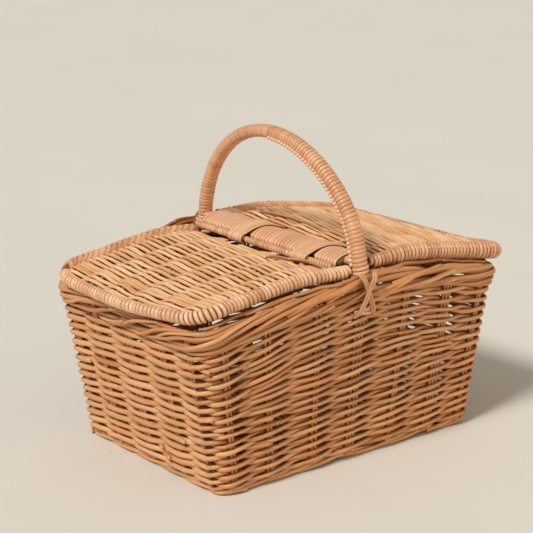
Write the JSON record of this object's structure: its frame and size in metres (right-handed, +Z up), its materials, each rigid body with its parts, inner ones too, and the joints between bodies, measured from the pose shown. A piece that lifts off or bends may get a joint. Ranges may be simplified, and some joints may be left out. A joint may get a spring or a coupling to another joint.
{
  "type": "wicker basket",
  "caption": "Oblong wicker picnic basket with tapered woven walls, a fixed arch handle and two arched lids hinged to a wrapped centre bar.",
  "frame": {"origin": "middle of the foot's underside, at the centre of the overall outline", "axes": "+X along the basket's length towards the right lid, +Y across its width towards the back, +Z up"},
  "size_m": [0.4494, 0.305, 0.346],
  "materials": {
    "woven_rods": "satin",
    "stake_rods": "satin",
    "border_rods": "satin",
    "lid_weave": "satin",
    "cane_wrapping": "satin",
    "cane_lashing": "satin",
    "core_rods": "satin"
  },
  "bodies": {
    "basket": {"handle_core": "core_rods", "handle_wrap": "cane_wrapping", "foot_border": "border_rods", "base_weave": "woven_rods", "base_sticks": "stake_rods", "wall_weave_front": "woven_rods", "wall_weave_back": "woven_rods", "wall_weave_left": "woven_rods", "wall_weave_right": "woven_rods", "wall_weave_corners": "woven_rods", "stakes_front": "stake_rods", "stakes_back": "stake_rods", "stakes_left": "stake_rods", "stakes_right": "stake_rods", "corner_posts": "stake_rods", "rim_border_lower": "border_rods", "rim_border_upper": "border_rods", "centre_bar_core": "core_rods", "centre_bar_wrap": "cane_wrapping", "hinge_loop_front": "cane_lashing", "hinge_loop_back": "cane_lashing", "foot_lashing_front": "cane_lashing", "foot_lashing_back": "cane_lashing", "cross_lashing_front": "cane_lashing", "cross_lashing_back": "cane_lashing"},
    "left_lid": {"left_lid_frame": "core_rods", "left_lid_frame_wrap": "cane_wrapping", "left_lid_hinge_rod": "core_rods", "left_lid_ribs": "lid_weave", "left_lid_weave": "lid_weave"},
    "right_lid": {"right_lid_frame": "core_rods", "right_lid_frame_wrap": "cane_wrapping", "right_lid_hinge_rod": "core_rods", "right_lid_ribs": "lid_weave", "right_lid_weave": "lid_weave"}
  },
  "joints": [
    {"name": "left_lid_hinge", "type": "hinge", "parent": "basket", "child": "left_lid", "pos_m": [-0.0265, 0, 0.2175], "axis": [0, 1, 0], "range_deg": [0, 94]},
    {"name": "right_lid_hinge", "type": "hinge", "parent": "basket", "child": "right_lid", "pos_m": [0.0265, 0, 0.2175], "axis": [0, -1, 0], "range_deg": [0, 94]}
  ]
}
